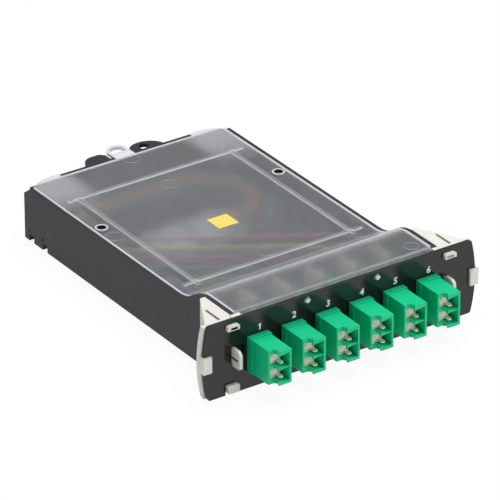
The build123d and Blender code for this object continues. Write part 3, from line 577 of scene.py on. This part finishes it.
def moulding_marks():
    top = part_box("cover_sticker")[0].z
    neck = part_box("cover")[1].z
    for name, places, height, radius in (("pin_mark", RING_PLACES, top, RING_RADIUS),
                                         ("neck_pin_mark", NECK_RING_PLACES, neck, NECK_RING_RADIUS)):
        for i, (x, y) in enumerate(places):
            ring(f"{name}_{i + 1}", (x * MM, y * MM, height), radius)


def camera():
    yaw = math.radians(CAMERA_YAW)
    pitch = math.radians(CAMERA_PITCH)
    roll = math.radians(CAMERA_ROLL)
    forward = Vector((math.sin(yaw) * math.cos(pitch), math.cos(yaw) * math.cos(pitch), -math.sin(pitch)))
    level = Vector((math.cos(yaw), -math.sin(yaw), 0.0))
    upright = level.cross(forward)
    right = level * math.cos(roll) + upright * math.sin(roll)
    up = upright * math.cos(roll) - level * math.sin(roll)
    place = CAMERA_TARGET - right * CAMERA_SIDE - up * CAMERA_RISE - forward * CAMERA_DISTANCE
    data = bpy.data.cameras.new("camera")
    data.sensor_width = SENSOR_MM
    data.lens = FOCAL_PX / IMAGE_PX * SENSOR_MM
    data.clip_start, data.clip_end = CAMERA_CLIP
    eye = bpy.data.objects.new("camera", data)
    bpy.context.scene.collection.objects.link(eye)
    axes = Matrix((right, up, -forward)).transposed().to_4x4()
    eye.matrix_world = Matrix.Translation(place) @ axes
    bpy.context.scene.camera = eye


def seen_white(tree):
    """1 where the camera, a mirror or glass looks, 0 otherwise."""
    path = tree.nodes.new("ShaderNodeLightPath")
    first = tree.nodes.new("ShaderNodeMath")
    first.operation = "MAXIMUM"
    tree.links.new(path.outputs["Is Camera Ray"], first.inputs[0])
    tree.links.new(path.outputs["Is Glossy Ray"], first.inputs[1])
    second = tree.nodes.new("ShaderNodeMath")
    second.operation = "MAXIMUM"
    tree.links.new(first.outputs[0], second.inputs[0])
    tree.links.new(path.outputs["Is Transmission Ray"], second.inputs[1])
    return second.outputs[0]


def surroundings():
    """Even light on the object, and the studio that the camera, mirrors and glass see."""
    world = bpy.data.worlds.new("world")
    bpy.context.scene.world = world
    world.use_nodes = True
    tree = world.node_tree
    light = tree.nodes["Background"]
    light.inputs["Color"].default_value = (1, 1, 1, 1)
    light.inputs["Strength"].default_value = WORLD_LIGHT
    seen = tree.nodes.new("ShaderNodeBackground")
    seen.inputs["Strength"].default_value = 1.0
    height = tree.nodes.new("ShaderNodeSeparateXYZ")
    tree.links.new(tree.nodes.new("ShaderNodeTexCoord").outputs["Generated"], height.inputs[0])
    studio = tree.nodes.new("ShaderNodeValToRGB")
    steps = studio.color_ramp.elements
    while len(steps) < len(STUDIO_SHADES):
        steps.new(1.0)
    for step, (position, grey) in zip(steps, STUDIO_SHADES):
        step.position = position
        step.color = (grey, grey, grey, 1.0)
    tree.links.new(height.outputs["Z"], studio.inputs["Fac"])
    tree.links.new(studio.outputs["Color"], seen.inputs["Color"])
    mix = tree.nodes.new("ShaderNodeMixShader")
    tree.links.new(seen_white(tree), mix.inputs["Fac"])
    tree.links.new(light.outputs[0], mix.inputs[1])
    tree.links.new(seen.outputs[0], mix.inputs[2])
    tree.links.new(mix.outputs[0], tree.nodes["World Output"].inputs["Surface"])


def floor():
    """Pale floor just under the object that keeps the object's shadow."""
    bpy.ops.mesh.primitive_plane_add(size=FLOOR_SIZE, location=(0, 0, cad_box[0][2] - FLOOR_DROP))
    ground = bpy.context.object
    ground.name = "floor"
    pale = bpy.data.materials.new("pale_floor")
    pale.use_nodes = True
    tree = pale.node_tree
    base = tree.nodes["Principled BSDF"]
    base.inputs["Base Color"].default_value = FLOOR_COLOUR
    base.inputs["Roughness"].default_value = FLOOR_ROUGH
    glow = tree.nodes.new("ShaderNodeEmission")
    glow.inputs["Color"].default_value = (1, 1, 1, 1)
    glow.inputs["Strength"].default_value = 1.0
    share = tree.nodes.new("ShaderNodeMath")
    share.operation = "MULTIPLY"
    share.inputs[1].default_value = FLOOR_GLOW
    tree.links.new(seen_white(tree), share.inputs[0])
    mix = tree.nodes.new("ShaderNodeMixShader")
    tree.links.new(share.outputs[0], mix.inputs["Fac"])
    tree.links.new(base.outputs[0], mix.inputs[1])
    tree.links.new(glow.outputs[0], mix.inputs[2])
    tree.links.new(mix.outputs[0], tree.nodes["Material Output"].inputs["Surface"])
    ground.data.materials.append(pale)


def lights():
    """Soft rectangular lamps that all face the object's middle."""
    for name, place, size, power in SOFTBOXES:
        data = bpy.data.lights.new(name, "AREA")
        data.shape = "RECTANGLE"
        data.size, data.size_y = size
        data.energy = power
        lamp = bpy.data.objects.new(name, data)
        bpy.context.scene.collection.objects.link(lamp)
        place = Vector(place)
        way = (Vector(LAMP_AIM) - place).to_track_quat("-Z", "Y")
        lamp.matrix_world = Matrix.Translation(place) @ way.to_matrix().to_4x4()


bpy.context.scene.view_settings.view_transform = "Standard"
dress_frame()
printed_numbers()
holes_filled()
moulding_marks()
surroundings()
floor()
lights()
camera()
